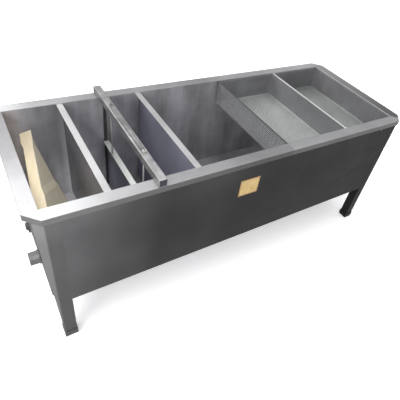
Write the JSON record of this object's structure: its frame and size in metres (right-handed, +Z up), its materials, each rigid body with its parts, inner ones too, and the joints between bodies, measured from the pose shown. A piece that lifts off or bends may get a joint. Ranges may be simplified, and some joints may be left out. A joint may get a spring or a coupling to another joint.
{
  "type": "sluice box",
  "caption": "Open stainless steel sluice tank on four folded legs with a folded rim, cross partitions, an adjustable weir gate hung from a crossbar and lift-out screening trays.",
  "frame": {"origin": "on the floor, under the middle of the tank", "axes": "+X along the tank from the outlet pipes to the screening trays, -Y is the side with the nameplate, +Z up"},
  "size_m": [2, 0.75, 0.8103],
  "materials": {
    "bright_steel": "brushed along each length, brightest on the flat tops",
    "inner_steel": "dull cold-rolled sheet, soft reflections",
    "outer_steel": "dark satin sheet",
    "perforated_steel": "fine perforated sheet, greenish grey",
    "fixing_steel": "plain turned and rolled fixings",
    "black_plastic": "moulded plastic",
    "nameplate_brass": "satin plate, left blank",
    "bare_wood": "sawn softwood, unfinished"
  },
  "bodies": {
    "tank": {"end_panel_left": "outer_steel", "end_panel_right": "outer_steel", "foot_cup_back_left": "black_plastic", "foot_cup_back_right": "black_plastic", "foot_cup_front_left": "black_plastic", "foot_cup_front_right": "black_plastic", "gate_guide_back": "inner_steel", "gate_guide_front": "inner_steel", "leg_back_left": "outer_steel", "leg_back_right": "outer_steel", "leg_front_left": "outer_steel", "leg_front_right": "outer_steel", "nameplate": "nameplate_brass", "nameplate_rivets": "fixing_steel", "outlet_collar": "fixing_steel", "outlet_pipe": "fixing_steel", "outlet_plug": "fixing_steel", "outlet_plug_head": "fixing_steel", "partition_1": "bright_steel", "partition_2": "bright_steel", "rim_back": "bright_steel", "rim_front": "bright_steel", "rim_left": "bright_steel", "rim_right": "bright_steel", "side_panel_back": "outer_steel", "side_panel_front": "outer_steel", "tank_end_left": "inner_steel", "tank_end_right": "inner_steel", "tank_floor": "inner_steel", "tank_wall_back": "inner_steel", "tank_wall_front": "inner_steel", "tray_ledge_back": "inner_steel", "tray_ledge_end": "inner_steel", "tray_ledge_front": "inner_steel"},
    "crossbar": {"crossbar": "bright_steel", "crossbar_plug_front": "black_plastic", "crossbar_plug_back": "black_plastic"},
    "weir_gate": {"gate_plate": "inner_steel", "gate_flange": "bright_steel", "gate_nuts_front": "fixing_steel", "gate_nuts_back": "fixing_steel", "hanger_rod_front": "fixing_steel", "hanger_rod_back": "fixing_steel", "hanger_nut_front": "fixing_steel", "hanger_nut_back": "fixing_steel", "hanger_washers": "fixing_steel"},
    "tray_1": {"tray_1_basket": "perforated_steel", "tray_1_rim": "bright_steel"},
    "tray_2": {"tray_2_basket": "perforated_steel", "tray_2_rim": "bright_steel"},
    "wood_board": {"wood_board": "bare_wood"}
  },
  "joints": [
    {"name": "crossbar_lift", "type": "slide", "parent": "tank", "child": "crossbar", "axis": [0, 0, 1], "range_m": [0, 0.58]},
    {"name": "gate_lift", "type": "slide", "parent": "crossbar", "child": "weir_gate", "axis": [0, 0, 1], "range_m": [0, 0.2]},
    {"name": "tray_1_lift", "type": "slide", "parent": "tank", "child": "tray_1", "axis": [0, 0, 1], "range_m": [0, 0.16]},
    {"name": "tray_2_lift", "type": "slide", "parent": "tank", "child": "tray_2", "axis": [0, 0, 1], "range_m": [0, 0.16]},
    {"name": "board_lift", "type": "slide", "parent": "tank", "child": "wood_board", "axis": [0, 0, 1], "range_m": [0, 0.57]}
  ]
}
